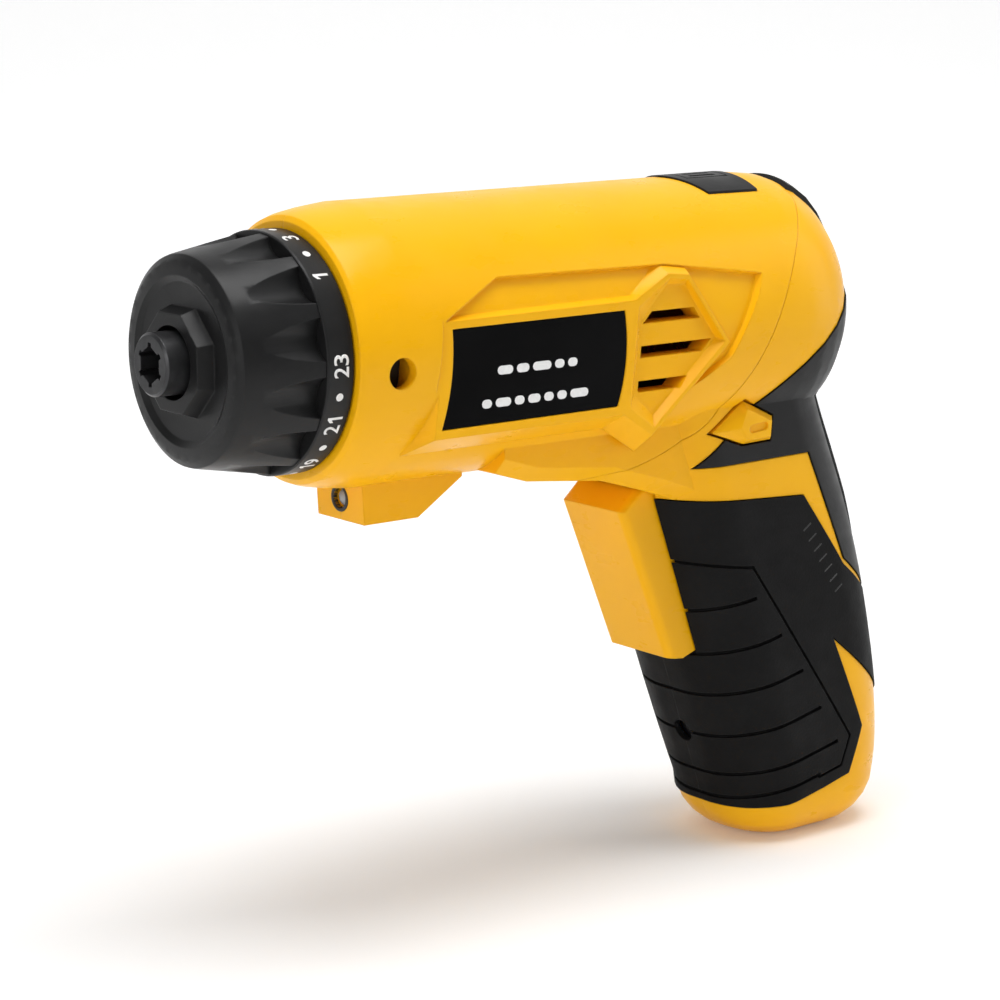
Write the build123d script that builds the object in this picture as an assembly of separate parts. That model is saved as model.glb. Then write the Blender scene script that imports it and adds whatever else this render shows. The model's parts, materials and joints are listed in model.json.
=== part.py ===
from build123d import *
import math
import os

# Pistol-grip cordless screwdriver, in millimetres.
# Origin: centre of the bit sleeve's mouth. +X points out of the nose, +Z up, +Y to the left side.

# ---- driving sizes: barrel ----
HEAD_HALF_W = 25.8       # half width of the barrel
HEAD_HALF_H = 27.8       # half height of the barrel
CROWN_RISE = 0.5         # the barrel is this much taller at its back
NECK_X = -29.9           # front rim of the barrel, behind the dial ring
NECK_R = 24.7            # radius of that round rim
NECK_LEN = 12.0          # from the rim to the barrel's full size
DOME_X = -145.0          # where the rounded back starts
DOME_LEN = 22.6          # length of the rounded back
DOME_POWER = 2.2         # squareness of the rounded back
WALL = 2.4               # wall of the yellow shells
SKIN = 1.4               # depth of the black panels let into the shells
PROUD = 0.35             # how far the black panels stand out
SPINE_PROUD = 1.0        # how far the back spine stands out
JOINT = 0.2              # visible joint line round let-in panels

# ---- driving sizes: handle ----
# each level: height, centre, half depth, half width, corner radius
HANDLE_LEVELS = [
    (-8.0, -131.5, 27.0, 20.0, 16.0),
    (-37.0, -141.0, 27.3, 19.6, 16.0),
    (-60.0, -149.2, 27.2, 19.6, 16.0),
    (-80.0, -155.2, 26.0, 19.3, 15.8),
    (-95.0, -159.2, 24.6, 18.6, 15.6),
    (-106.0, -161.4, 22.8, 17.4, 15.0),
]
BASE_DEPTH = 12.4        # rounded end of the handle below the last level
BASE_FLAT = 0.45         # share of the section left flat underneath
HANDLE_TILT = 15.5       # lean of the battery and the charging jack, degrees
FLARE_HALF_W = 17.0      # half width of the body above the trigger
BLOCK_HALF_W = 7.75      # half width of the work light's block

# ---- driving sizes: collar and bit holder ----
SLEEVE_R = 6.0
SLEEVE_LEN = 10.4
SHAFT_R = 5.0
HEX_AF = 6.40            # across the flats, for a 6.35 mm bit
HEX_DEPTH = 14.0
COLLAR_FRONT_X = -7.6
COLLAR_FRONT_R = 20.0
COLLAR_BORE_R = 17.6
FACE_CREASE_R = 15.5
RING_LEN = 6.0
RING_R = 23.4
HUB_LEN = 3.2            # height of the eight-sided hub
HUB_AF = 18.4            # hub across its flats, at the front
HUB_HOLE_R = 7.0
FLUTES = 13
FLUTE_R = 5.0
FLUTE_DEPTH = 3.0
FLUTE_LEAN = 2.2         # degrees outwards, so that each flute runs out before the face
KEY_W = 3.0

# ---- driving sizes: gearbox and motor ----
RUN = 0.05               # radial clearance of a running fit
AIR = 0.4                # gap between parts that pass each other
MODULE = 0.65
SUN_TEETH = 9
PLANET_TEETH = 18
RING_TEETH = SUN_TEETH + 2 * PLANET_TEETH
PRESSURE = 25.0          # pressure angle of the stub teeth, degrees
BACKLASH = 0.04          # share of the pitch taken off each tooth
PLANETS = 3
GEAR_W = 6.0
PIN_R = 1.6
GEARBOX_R = 20.0
GEARBOX_FRONT = 3.0      # thickness of its front wall
RING_GEAR_WALL = 2.25    # outside the ring gears' teeth
CARRIER_AIR = 1.6        # between a carrier's rim and the ring gear's teeth
TOOTH_ADD = 0.75         # stub tooth above the pitch circle, in modules
TOOTH_DED = 0.95         # and below it
CARRIER_T = 2.5
NOSE_TUBE_R = 12.6
BUSH_R = 8.0
BUSH_LEN = 9.0
BALL_R = 1.5
BALLS = 6
BALL_RING_R = 15.3
WASHER_T = 1.2
NUT_T = 3.0
SPRING_WIRE = 1.3
MOTOR_R = 13.85
MOTOR_LEN = 37.8
MOTOR_SHAFT_R = 1.15
MOTOR_PLATE_T = 2.5
MOTOR_BOSS_R = 4.9

# ---- driving sizes: controls and electrics ----
TRIGGER_TRAVEL = 4.0
TRIGGER_HALF_W = 10.0
TRIGGER_WALL = 2.0
TRIGGER_TILT = 20.0      # lean of the trigger's path, degrees
PLUNGER_R = 2.0
SELECTOR_X = -131.0
SELECTOR_Z = -22.0
SELECTOR_OUT = 1.7       # how far the selector's ends stand out
BUTTON_X = -134.0
BUTTON_LEN = 11.0
BUTTON_HALF_W = 4.6
CELL_R = 9.1
CELL_LEN = 65.0
SCREW_R = 1.5
SCREW_HEAD_R = 2.7
SCREW_LEN = 14.0
SCREW_HEAD_Y = 7.0       # seat of the screw heads, on the right side
BOSS_R = 4.2
JACK_R = 2.6
JACK_BARREL_R = 4.4
LED_R = 2.0
PIN_HOLE_R = 3.0         # round hole through each side of the neck
PIN_HOLE = (-39.0, -2.3)

# ---- places worked out from the sizes ----
RING_BACK_X = NECK_X + 0.3
RING_FRONT_X = RING_BACK_X + RING_LEN
HUB_BACK_X = COLLAR_FRONT_X + 0.2
GEARBOX_X = NECK_X - WALL
RING_OUT_X = GEARBOX_X - GEARBOX_FRONT
CARRIER_OUT_X = RING_OUT_X - AIR
PLANET_OUT_X = CARRIER_OUT_X - CARRIER_T - 0.6
CARRIER_IN_X = PLANET_OUT_X - GEAR_W - 1.3
RING_IN_X = CARRIER_IN_X + AIR
PLANET_IN_X = CARRIER_IN_X - CARRIER_T - 0.6
MOTOR_PLATE_X = PLANET_IN_X - GEAR_W - 1.9
MOTOR_X = MOTOR_PLATE_X - MOTOR_PLATE_T
MOTOR_BACK_X = MOTOR_X - MOTOR_LEN
RING_GEAR_R = MODULE * (RING_TEETH / 2 + TOOTH_DED) + RING_GEAR_WALL
CARRIER_R = MODULE * (RING_TEETH / 2 - TOOTH_ADD) - CARRIER_AIR
CENTRE_DISTANCE = MODULE * (SUN_TEETH + PLANET_TEETH) / 2
NUT_X = RING_FRONT_X + 3.0 + NUT_T
FAR = 60.0

os.makedirs("parts", exist_ok=True)


def save(name, shape):
    export_step(shape, f"parts/{name}.step")


# ---- small helpers ----
def side_face(points, y=0.0):
    """A flat face standing at distance y, from its (x, z) corners."""
    return make_face(Polyline(*[(px, y, pz) for px, pz in points], close=True))


def side_prism(points, y0, y1):
    """A prism of a side outline between two distances y."""
    return extrude(side_face(points, y0), amount=y1 - y0, dir=(0, 1, 0))


def both_sides(points, half_width):
    return side_prism(points, -half_width, half_width)


def grown(points, amount):
    """The corners of a straight-sided outline made larger by an even margin."""
    flat = make_face(Polyline(*points, close=True))
    bigger = offset(flat, amount=amount, kind=Kind.INTERSECTION)
    edges = bigger.face().outer_wire().order_edges()
    return [(e.position_at(0).X, e.position_at(0).Y) for e in edges]


def tapered(points, spread, y0, y1):
    """A side outline at y1 that has grown by spread when it reaches y0."""
    wide = side_face(grown(points, spread), y0)
    return loft([wide, side_face(matched(points, spread), y1)], ruled=True)


def matched(points, spread):
    """The outline's own corners, in the order that grown() gives them."""
    target = grown(points, spread)
    return [min(points, key=lambda p: math.dist(p, t)) for t in target]


def tube_x(x0, x1, r_out, r_in=0.0):
    """A tube or rod along X between two stations."""
    length = abs(x1 - x0)
    ring = Circle(r_out) - Circle(r_in) if r_in > 0 else Circle(r_out)
    start = Plane(origin=(min(x0, x1), 0, 0), x_dir=(0, 1, 0), z_dir=(1, 0, 0))
    return extrude(start * ring, amount=length)


def turned(profile):
    """A solid turned about the spindle axis from (x, radius) corners."""
    return revolve(side_face(profile), axis=Axis.X)


def box(x0, x1, y0, y1, z0, z1):
    middle = Pos((x0 + x1) / 2, (y0 + y1) / 2, (z0 + z1) / 2)
    return middle * Box(abs(x1 - x0), abs(y1 - y0), abs(z1 - z0))


def mirrored(shape):
    return mirror(shape, about=Plane.XZ)


def group(shapes):
    return Compound(children=list(shapes))


def coil(radius, wire, length, turns):
    """A compression spring standing on its start plane."""
    path = Helix(pitch=length / turns, height=length, radius=radius)
    section = Plane(origin=path @ 0, z_dir=path % 0) * Circle(wire / 2)
    return sweep(section, path=path)


# ---- outer form ----
def oval(x, half_w, half_h):
    plane = Plane(origin=(x, 0, 0), x_dir=(0, 1, 0), z_dir=(1, 0, 0))
    return plane * Ellipse(half_w, half_h)


def head_form(inset):
    """The barrel: a round rim, a swelling neck, a long body and a rounded back."""
    steps = [(0.0, 0.0), (0.06, 0.35), (0.2, 0.55), (0.55, 0.8), (1.0, 1.0)]
    ovals = []
    for along, rise in steps:
        half_w = NECK_R + rise * (HEAD_HALF_W - NECK_R) - inset
        half_h = NECK_R + rise * (HEAD_HALF_H - NECK_R) - inset
        ovals.append(oval(NECK_X - inset - along * (NECK_LEN - inset), half_w, half_h))
    full_h = HEAD_HALF_H + CROWN_RISE
    for step in range(9):
        turn = math.radians(90) * step / 8.6
        share = math.cos(turn) ** (2 / DOME_POWER)
        x = DOME_X - (DOME_LEN - inset) * math.sin(turn) ** (2 / DOME_POWER)
        ovals.append(oval(x, (HEAD_HALF_W - inset) * share, (full_h - inset) * share))
    return loft(ovals, ruled=True)


def handle_section(level, inset, share=1.0, drop=0.0):
    z, centre, half_depth, half_width, corner = level
    a = (half_depth - inset) * share
    b = (half_width - inset) * share
    r = min((corner - inset) * share, b - 0.5)
    return Plane(origin=(centre, 0, z - drop)) * RectangleRounded(2 * a, 2 * b, r)


def handle_form(inset):
    """The handle: a leaning, softly squared column with a rounded end."""
    column = loft([handle_section(level, inset) for level in HANDLE_LEVELS])
    last = HANDLE_LEVELS[-1]
    rounds = []
    for step in range(7):
        turn = math.radians(90) * step / 6
        share = BASE_FLAT + (1 - BASE_FLAT) * math.cos(turn)
        drop = (BASE_DEPTH - inset) * math.sin(turn)
        rounds.append(handle_section(last, inset, share, drop))
    return column + loft(rounds, ruled=True)


FLARE = [(-70, -12), (-70, -26.5), (-78, -29.0), (-98, -31.2), (-112, -35.5),
         (-126, -41), (-150, -41), (-150, -12)]
LIGHT_BLOCK = [(-41.8, -20), (-42.6, -34.4), (-55.6, -34.4), (-66.5, -27.4), (-66.5, -20)]


def flare_form(inset):
    """The body above the trigger, where the barrel runs into the handle."""
    points = grown(FLARE, -inset) if inset else FLARE
    block = both_sides(points, FLARE_HALF_W - inset)
    return block if inset > 2 else chamfer(lower_edges(block), 3.2 - inset)


def lower_edges(block):
    """The long edges under the flare, on both sides."""
    found = []
    for edge in block.edges():
        middle = edge.position_at(0.5)
        if middle.Z < -25 and abs(middle.Y) > 5 and middle.X > -130:
            found.append(edge)
    return found


def body_form(inset):
    return head_form(inset) + handle_form(inset) + flare_form(inset)


# ---- side outlines ----
SEAM = [(-158, 34), (-151.5, 24.5), (-143, 13.7), (-135.5, 0.6), (-131, -8.3),
        (-125.5, -17.0), (-119.3, -22.8), (-110, -27), (-98, -29.6), (-82, -31.0)]
SELECTOR = [(-122.6, -23.3), (-131.0, -17.3), (-139.4, -21.3), (-139.0, -26.2), (-131.2, -26.4)]
PANEL_LOW = [(-119.6, -30.6), (-150.8, -30.2), (-162.5, -55), (-177.5, -66), (-200, -66), (-200, 34)]
GRIP = [(-95, -36.5), (-149.5, -39.6), (-162.3, -56.4), (-177.5, -67.4), (-200, -67.4),
        (-200, -98), (-184, -91.5), (-159.4, -72.2), (-170.2, -94.3), (-167.4, -105.0),
        (-160, -107.0), (-150, -109.3), (-142, -109.8), (-95, -109.8)]
TRIGGER = [(-106.5, -39.6), (-120.4, -73.0), (-124.2, -73.4), (-132.4, -70.4), (-121, -33.0),
           (-113.8, -33.0)]
LABEL = [(-48.6, -14.0), (-51.2, 4.8), (-93.9, 5.0), (-92.2, -13.8)]
PAD = [(-46.8, -15.8), (-49.6, 6.4), (-96.6, 6.9), (-105.4, 11.6), (-111.0, 11.0),
       (-122.4, -3.6), (-101.5, -20.6), (-94.0, -15.8)]
VENT_FRAME = [(-97.6, 5.6), (-105.7, 10.6), (-110.7, 10.1), (-121.2, -3.4), (-101.9, -19.2),
              (-95.6, -14.6)]
VENT = [(-100.2, 1.8), (-106.7, 8.3), (-110.8, 8.0), (-118.9, -2.4), (-105.9, -15.9),
        (-102.4, -15.9), (-98.9, -11.6)]
VENT_SLOTS = [(1.8, 4.1), (-5.1, -2.7), (-12.0, -9.7)]
HOOD = [(-49.0, -15.6), (-49.4, 6.6), (-63.3, 15.0), (-106.4, 14.4), (-132.6, 10.2),
        (-122.8, -7.0), (-104.6, -19.8), (-80.2, -21.6)]
PAD_Y = HEAD_HALF_W - 0.8        # outer face of the raised pads, on each side
HOOD_Y = PAD_Y + 0.2             # where the hood's bevel ends
VENT_DEPTH = 1.7                 # from the pad down to the louvres' faces
LOUVRE_DEPTH = 6.4               # from the pad to the louvres' backs
LABEL_DEPTH = 1.0                # recess of the name plate
LABEL_T = 0.85
LABEL_GAP = 0.15


def seam_line():
    return Spline(*[(px, 0, pz) for px, pz in SEAM])


def seam_region(shift):
    """Everything in front of the curved joint between barrel and handle."""
    curve = Pos(shift, 0, 0) * seam_line()
    start = curve @ 0
    end = curve @ 1
    rest = Polyline(end, (end.X + 8, 0, end.Z - 6), (end.X + 8, 0, -FAR), (FAR, 0, -FAR),
                    (FAR, 0, FAR), (start.X, 0, FAR), start)
    face = make_face([curve, rest])
    return extrude(face, amount=FAR, dir=(0, 1, 0), both=True)


def spine_zone(margin):
    """The rear strip, seen from behind: wide near the top, narrow at its lower tip."""
    half = [(9.5, 34), (10.5, 10), (12.5, -14), (14.0, -30), (13.5, -42), (8.5, -66), (3.0, -91)]
    right = [(y + margin, z) for y, z in half]
    left = [(-y - margin, z) for y, z in reversed(half)]
    points = [(-148, y, z - (margin if z < -90 else 0)) for y, z in right + left]
    return extrude(make_face(Polyline(*points, close=True)), amount=FAR, dir=(-1, 0, 0))


def crown_zone(margin):
    """The pad on the crown, seen from above, with a pointed front edge."""
    points = [(-124.6, 0), (-128.4, 11.4), (-142.0, 11.6), (-142.0, -11.6), (-128.4, -11.4)]
    flat = grown(points, margin) if margin else points
    face = make_face(Polyline(*[(px, py, 15) for px, py in flat], close=True))
    return extrude(face, amount=FAR, dir=(0, 0, 1))


def button_zone(margin, z0, z1):
    half_len = BUTTON_LEN / 2 + margin
    half_w = BUTTON_HALF_W + margin
    return box(BUTTON_X - half_len, BUTTON_X + half_len, -half_w, half_w, z0, z1)


# ---- handle-side directions ----
def leaning(x, z, tilt):
    """A plane whose z runs into the handle and whose y runs along it."""
    angle = math.radians(tilt)
    return Plane(origin=(x, 0, z), x_dir=(0, 1, 0), z_dir=(-math.cos(angle), 0, math.sin(angle)))


JACK_PLANE = leaning(-134.2, -93.0, HANDLE_TILT + 3)
TRIGGER_PLANE = leaning(-121.0, -54.0, TRIGGER_TILT)
CELL_TOP = (-143.8, -43.0)
BOSSES = [(-76, 19.2), (-104, 19.2), (-76, -19.2), (-152, 6), (-157.6, -33.0), (-139.4, -80.6)]
CARRY_RIBS = [(GEARBOX_X - 10, GEARBOX_R), (MOTOR_X - 16, MOTOR_R), (MOTOR_X - 30, MOTOR_R)]
RIB_T = 2.0


def trigger_shift(amount):
    """The trigger's own path, as a step in x and z."""
    angle = math.radians(TRIGGER_TILT)
    return (-math.cos(angle) * amount, math.sin(angle) * amount)


def trigger_window():
    """The space that the trigger sweeps, with air round it."""
    dx, dz = trigger_shift(TRIGGER_TRAVEL + AIR)
    moved = [(px + dx, pz + dz) for px, pz in TRIGGER]
    still = both_sides(grown(TRIGGER, AIR), TRIGGER_HALF_W + AIR)
    swept = both_sides(grown(moved, AIR), TRIGGER_HALF_W + AIR)
    lower = [TRIGGER[1], TRIGGER[3], moved[3], moved[1]]
    upper = [TRIGGER[5], moved[5], moved[4], TRIGGER[4]]
    spans = [both_sides(grown(s, AIR), TRIGGER_HALF_W + AIR) for s in (lower, upper)]
    return still + swept + spans[0] + spans[1]


# ---- casing ----
def vent_dish():
    """The bevelled hollow round the louvres."""
    floor = [(-99.4, 2.4), (-106.4, 9.2), (-111.2, 8.8), (-119.8, -2.6), (-103.0, -16.9),
             (-97.8, -12.2)]
    return loft([side_face(floor, PAD_Y - VENT_DEPTH), side_face(VENT_FRAME, PAD_Y + 0.02)], ruled=True)


def vent_cuts():
    """The open slots between the louvres."""
    opening = side_prism(VENT, PAD_Y - 10, PAD_Y + 5)
    return [opening & box(-125, -95, 0, FAR, low, high) for low, high in VENT_SLOTS]


def label_solid(margin, y0, y1):
    """The name plate's outline: concave front edge, convex back edge."""
    front_low, front_top, back_top, back_low = [(px, 0, pz) for px, pz in LABEL]
    front_mid = (-50.9, 0, -5.2)
    back_mid = (-94.4, 0, -4.2)
    face = make_face([ThreePointArc(front_low, front_mid, front_top), Line(front_top, back_top),
                      ThreePointArc(back_top, back_mid, back_low), Line(back_low, front_low)])
    if margin:
        face = offset(face, amount=margin)
    return Pos(0, y0, 0) * extrude(face, amount=y1 - y0, dir=(0, 1, 0))


def dressed_side(shell):
    """One side's hood, raised pad, vent and label recess."""
    hood = tapered(HOOD, -2.0, HOOD_Y - 4.2, HOOD_Y) + side_prism(HOOD, HOOD_Y, FAR)
    shell = shell - (hood - head_form(1.3))
    shell = shell + (tapered(PAD, 3.4, PAD_Y - 6.0, PAD_Y) - head_form(WALL))
    shell = shell + (side_prism(VENT_FRAME, PAD_Y - LOUVRE_DEPTH, PAD_Y - VENT_DEPTH + 0.2) & LET_IN)
    shell = shell - side_prism(grown(PAD, 0.8), PAD_Y, FAR)
    cuts = [vent_dish(), label_solid(LABEL_GAP, PAD_Y - LABEL_DEPTH, PAD_Y + 1), *vent_cuts()]
    return shell - cuts


def jack_hole(radius, depth):
    return JACK_PLANE * Pos(0, 0, depth / 2 - 4) * Cylinder(radius, depth + 8)


def selector_window(margin):
    return side_prism(grown(SELECTOR, margin), 14, FAR)


def screw_cut(x, z):
    """Counterbore and clearance hole on the right, pilot hole on the left."""
    lie = Pos(x, 0, z) * Rot(90, 0, 0)
    head = lie * Pos(0, 0, SCREW_HEAD_Y + 20) * Cylinder(SCREW_HEAD_R + 0.2, 40)
    shank = lie * Cylinder(SCREW_R, 2 * SCREW_HEAD_Y + 0.6)
    return head + shank


def pin_hole():
    return Pos(PIN_HOLE[0], FAR / 2, PIN_HOLE[1]) * Rot(90, 0, 0) * Cylinder(PIN_HOLE_R, FAR)


def carriers(form):
    """Ribs that hold the gearbox and the motor, and the screw bosses."""
    ribs = [tube_x(x, x - RIB_T, HEAD_HALF_H + 2, r) for x, r in CARRY_RIBS]
    posts = [Pos(x, 0, z) * Rot(90, 0, 0) * Cylinder(BOSS_R, 2 * HEAD_HALF_W) for x, z in BOSSES]
    return [(piece & form) for piece in ribs + posts]


def rear_zone(margin):
    """The left black panel behind the curved joint, with its tail down the back."""
    points = grown(PANEL_LOW, margin) if margin else PANEL_LOW
    low = side_prism(points, 2.0, FAR)
    return low - seam_region(margin - JOINT) - spine_zone(JOINT - margin)


def grip_zone(margin):
    """The left grip, which meets its twin at the front."""
    points = grown(GRIP, margin) if margin else GRIP
    return side_prism(points, 0, FAR) - spine_zone(JOINT - margin)


def spine_body_zone(margin):
    return spine_zone(margin) - seam_region(margin - JOINT)


print("forms")
OUTER = body_form(0)
INNER = body_form(WALL)
LET_IN = body_form(SKIN)
ROOT = body_form(WALL - 0.4)
PANEL_OUT = body_form(-PROUD)
SPINE_OUT = body_form(-SPINE_PROUD)
PLUG_OUT = body_form(-SPINE_PROUD - 0.8)
LEFT_HALF = box(-250, 50, 0, FAR, -200, 100)
LIGHT_BORE = Pos(0, 0, -30) * tube_x(-38, -52, LED_R + RUN)
SPINE_PLUG = Plane(origin=(-150, 0, -20), x_dir=(0, 1, 0), z_dir=(-1, 0, 0)) * SlotOverall(18, 7)
PLUG_POST = extrude(SPINE_PLUG, amount=30)


def left_casing():
    """The left half of the yellow casing, before it is split along the curved joint."""
    print("casing")
    hollow = (OUTER + both_sides(LIGHT_BLOCK, BLOCK_HALF_W)) - INNER
    half = dressed_side(hollow & LEFT_HALF)
    for piece in carriers(ROOT):
        half = half + (piece & LEFT_HALF)
    rib = TRIGGER_PLANE * Pos(13.5, 0, 13) * Box(13, 8, 2)
    half = half + (rib & ROOT)
    half = half - LIGHT_BORE - pin_hole()
    half = half - (tube_x(NECK_X + 1, NECK_X - WALL, COLLAR_BORE_R + 1))
    half = half - tube_x(GEARBOX_X, MOTOR_X, GEARBOX_R) - tube_x(MOTOR_X, MOTOR_BACK_X, MOTOR_R)
    half = half - ((rear_zone(JOINT) + grip_zone(JOINT) + spine_body_zone(JOINT)) - LET_IN)
    half = half - (crown_zone(JOINT) - LET_IN) - button_zone(AIR, 20, 40)
    half = half - selector_window(0.5) - trigger_window()
    return half - jack_hole(JACK_BARREL_R, 21.6)


def save_casing():
    left = left_casing()
    cuts = [screw_cut(x, z) for x, z in BOSSES]
    front = seam_region(0)
    back = seam_region(-0.15)
    for side, half in (("left", left), ("right", mirrored(left))):
        half = half - cuts
        save(f"head_shell_{side}", half & front)
        save(f"handle_shell_{side}", half - back)


def save_panels():
    """Black hard panels, soft grips, spine, plug and plates."""
    print("panels")
    skin = PANEL_OUT - LET_IN
    rear = (skin & rear_zone(0)) - selector_window(0.5)
    grip = (skin & grip_zone(0)) - trigger_window() - jack_hole(JACK_R, 20)
    grip = grip - (grip_grooves() - body_form(0.5))
    cuts = [screw_cut(x, z) for x, z in BOSSES]
    plug_air = extrude(SPINE_PLUG, amount=30)
    spine = ((SPINE_OUT - LET_IN) & spine_body_zone(0)) - plug_air
    for side, turn in (("left", False), ("right", True)):
        panel = mirrored(rear) if turn else rear
        pad = mirrored(grip) if turn else grip
        plate = label_solid(0, PAD_Y - LABEL_DEPTH, PAD_Y - LABEL_DEPTH + LABEL_T)
        plate = mirrored(plate) if turn else plate
        save(f"rear_panel_{side}", (panel - cuts) if turn else panel)
        save(f"grip_{side}", (pad - cuts) if turn else pad)
        save(f"label_plate_{side}", plate)
    save("back_spine", spine)
    save("rear_plug", PLUG_POST & (PLUG_OUT - LET_IN))


GROOVE = 0.9
RIB_ENDS = [(-136.0, -60.3), (-143.6, -69.5), (-150.4, -78.4), (-156.5, -87.8), (-162.4, -96.6),
            (-158.0, -103.6)]
FIELD = [(-100, -49.0), (-134.9, -53.4), (-166.4, -95.9), (-164.6, -102.6), (-158.0, -104.2)]


def groove_strip(points, width):
    """A narrow strip that follows a line of side points."""
    strips = []
    for (x0, z0), (x1, z1) in zip(points, points[1:]):
        length = math.dist((x0, z0), (x1, z1)) + width * 0.8
        angle = math.degrees(math.atan2(z1 - z0, x1 - x0))
        middle = Pos((x0 + x1) / 2, 0, (z0 + z1) / 2) * Rot(0, -angle, 0)
        strips.append(middle * Box(length, 2 * FAR, width))
    return strips


def grip_grooves():
    """Cross grooves square to the handle, and the groove that frames them."""
    fall = math.tan(math.radians(HANDLE_TILT - 3))
    strips = groove_strip(FIELD, 0.7)
    for x, z in RIB_ENDS:
        reach = 50
        strips = strips + groove_strip([(x, z), (x + reach, z - reach * fall)], GROOVE)
    return Part() + strips


def save_crown():
    """The pad on the crown, its push button and the button's spring."""
    print("crown")
    skin = (PANEL_OUT - LET_IN) & crown_zone(0)
    save("top_trim", skin - button_zone(AIR, 10, 40))
    key = button_zone(0, 23.6, 40) & PANEL_OUT
    flange = button_zone(1.2, 23.6, 24.6)
    grooves = [box(BUTTON_X - 3.6, BUTTON_X + 3.6, y - 0.45, y + 0.45, 27.6, 40)
               for y in (-3.2, -1.1, 1.1, 3.2)]
    save("top_button", key + flange - grooves)
    save("top_button_spring", Pos(BUTTON_X, 0, 18.3) * coil(2.4, 0.6, 4.9, 5))


# ---- collar and clutch ----
def save_collar():
    print("collar")
    face = COLLAR_FRONT_X
    outline = [(face, COLLAR_FRONT_R), (face + 0.9, COLLAR_FRONT_R - 1.4),
               (face + 1.1, FACE_CREASE_R + 0.6), (face + 0.3, FACE_CREASE_R - 0.6),
               (face + 0.1, 11), (face + 0.1, HUB_HOLE_R), (face - 2.6, HUB_HOLE_R),
               (face - 2.6, COLLAR_BORE_R), (RING_FRONT_X, COLLAR_BORE_R),
               (RING_FRONT_X, RING_R - 0.4), (face - 0.8, COLLAR_FRONT_R + 0.25)]
    cap = turned(outline)
    start = Plane(origin=(face - 0.4, 0, 0), x_dir=(0, 1, 0), z_dir=(1, 0, 0))
    end = start.offset(HUB_LEN + 0.4)
    turn = 22.5
    hub = loft([start * RegularPolygon(HUB_AF / 2 + 1.2, 8, major_radius=False, rotation=turn),
                end * RegularPolygon(HUB_AF / 2, 8, major_radius=False, rotation=turn)], ruled=True)
    cap = cap + (hub - tube_x(0, face - 3, HUB_HOLE_R))
    back_r = RING_R - FLUTE_DEPTH + FLUTE_R
    reach = 30
    for number in range(FLUTES):
        seat = Pos(RING_FRONT_X, 0, back_r) * Rot(0, 90 - FLUTE_LEAN, 0)
        scoop = seat * Pos(0, 0, reach / 2 - 4) * Cylinder(FLUTE_R, reach + 8)
        scoop = scoop & box(RING_FRONT_X, 0, -20, 20, 0, 40)
        cap = cap - Rot(360 * number / FLUTES + 6, 0, 0) * scoop
    keys = [Rot(angle, 0, 0) * box(RING_FRONT_X, face - 3, -KEY_W / 2, KEY_W / 2, 15.8, 18)
            for angle in (0, 180)]
    save("collar_cap", cap + keys)
    ring = turned([(RING_FRONT_X, COLLAR_BORE_R), (RING_BACK_X, COLLAR_BORE_R),
                   (RING_BACK_X, RING_R - 0.3), (RING_BACK_X + 0.3, RING_R),
                   (RING_FRONT_X - 0.3, RING_R), (RING_FRONT_X, RING_R - 0.2)])
    save("number_ring", ring)


def save_clutch():
    print("clutch")
    nut = tube_x(NUT_X, NUT_X - NUT_T, COLLAR_BORE_R - AIR, NOSE_TUBE_R + RUN)
    slots = [Rot(angle, 0, 0) * box(NUT_X + 1, NUT_X - NUT_T - 1, -KEY_W / 2 - AIR,
                                    KEY_W / 2 + AIR, 15.8 - AIR, 20) for angle in (0, 180)]
    save("clutch_nut", nut - slots)
    seat = GEARBOX_X + WASHER_T
    length = NUT_X - NUT_T - seat
    start = Plane(origin=(seat + SPRING_WIRE / 2, 0, 0), x_dir=(0, 1, 0), z_dir=(1, 0, 0))
    save("clutch_spring", start * coil(14.6, SPRING_WIRE, length - SPRING_WIRE, 3.25))
    save("clutch_washer", tube_x(GEARBOX_X, seat, BALL_RING_R + 1.6, NOSE_TUBE_R + 0.1))
    balls = []
    for number in range(BALLS):
        place = Rot(360 * number / BALLS + 30, 0, 0) * Pos(GEARBOX_X - BALL_R, 0, BALL_RING_R)
        balls.append(place * Sphere(BALL_R))
    save("clutch_balls", group(balls))


# ---- spindle ----
def save_spindle():
    print("spindle")
    neck = 4.0
    outline = [(0, 0), (0, SLEEVE_R - 0.5), (-0.5, SLEEVE_R), (-SLEEVE_LEN, SLEEVE_R),
               (-SLEEVE_LEN, SHAFT_R), (CARRIER_OUT_X, SHAFT_R), (CARRIER_OUT_X, neck),
               (CARRIER_OUT_X - CARRIER_T, neck), (CARRIER_OUT_X - CARRIER_T, 0)]
    mouth = Plane(origin=(0, 0, 0), x_dir=(0, 1, 0), z_dir=(1, 0, 0))
    socket = extrude(mouth * RegularPolygon(HEX_AF / 2, 6, major_radius=False, rotation=30),
                     amount=-HEX_DEPTH)
    notches = [Rot(60 * n, 0, 0) * Pos(-3, 0, HEX_AF / math.sqrt(3)) * Box(6, 1.1, 0.9)
               for n in range(6)]
    magnet = tube_x(-HEX_DEPTH, -HEX_DEPTH - 3, 2.5)
    snap = tube_x(-5.0, -6.2, 4.0)
    holder = turned(outline) - [socket, magnet, *notches, snap]
    save("bit_holder", holder)
    save("bit_magnet", magnet)
    ring = tube_x(-5.1, -6.1, 3.95, 3.55)
    save("bit_snap_ring", ring - box(-7, -4, -1.2, 1.2, 0, 6))
    plate = tube_x(CARRIER_OUT_X, CARRIER_OUT_X - CARRIER_T, CARRIER_R, neck)
    save("output_carrier", plate + carrier_pins(CARRIER_OUT_X - CARRIER_T))
    back = -SLEEVE_LEN - 0.5
    save("spindle_bush", tube_x(back, back - BUSH_LEN, BUSH_R, SHAFT_R + RUN))


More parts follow.
